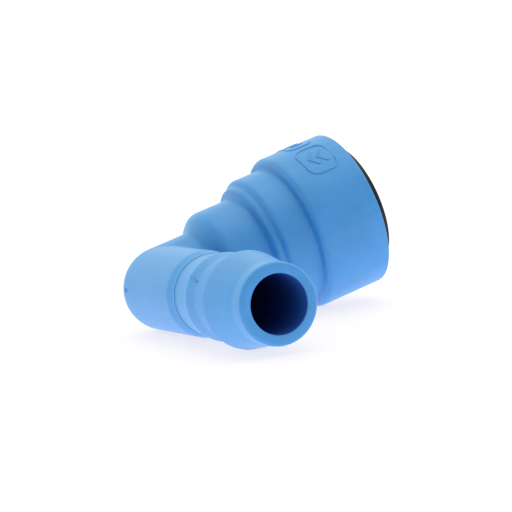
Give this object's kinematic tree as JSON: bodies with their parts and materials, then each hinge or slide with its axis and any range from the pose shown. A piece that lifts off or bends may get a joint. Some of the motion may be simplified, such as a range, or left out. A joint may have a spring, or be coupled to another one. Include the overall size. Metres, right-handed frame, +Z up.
{
  "type": "push to connect elbow fitting",
  "caption": "Right-angle push-to-connect fitting: a stepped tube socket with a sliding release collet at one end, a hose barb at the other.",
  "frame": {"origin": "on the bench under the middle of the fitting's box, as it lies on its corner, socket shoulder and barb ring", "axes": "+Z up; the hose barb points along -Y, rising 1.1 degrees; the tube socket points along +X, rising 14.3 degrees"},
  "size_m": [0.0418, 0.055, 0.0258],
  "materials": {
    "blue_body": "satin moulded blue plastic",
    "black_collet": "dark charcoal moulded acetal, satin",
    "white_spacer": "natural white moulded plastic",
    "seal_rubber": "greased black nitrile rubber",
    "tooth_steel": "stamped stainless steel"
  },
  "bodies": {
    "elbow": {"elbow_body": "blue_body", "retaining_cap": "blue_body", "spacer_washer": "white_spacer", "o_ring": "seal_rubber"},
    "collet": {"collet": "black_collet", "tooth_1": "tooth_steel", "tooth_2": "tooth_steel", "tooth_3": "tooth_steel", "tooth_4": "tooth_steel", "tooth_5": "tooth_steel", "tooth_6": "tooth_steel", "tooth_7": "tooth_steel", "tooth_8": "tooth_steel"}
  },
  "joints": [
    {"name": "collet_slide", "type": "slide", "parent": "elbow", "child": "collet", "axis": [0.9689, 0.0046, 0.2474], "range_m": [-0.0009, 0.0006]}
  ]
}
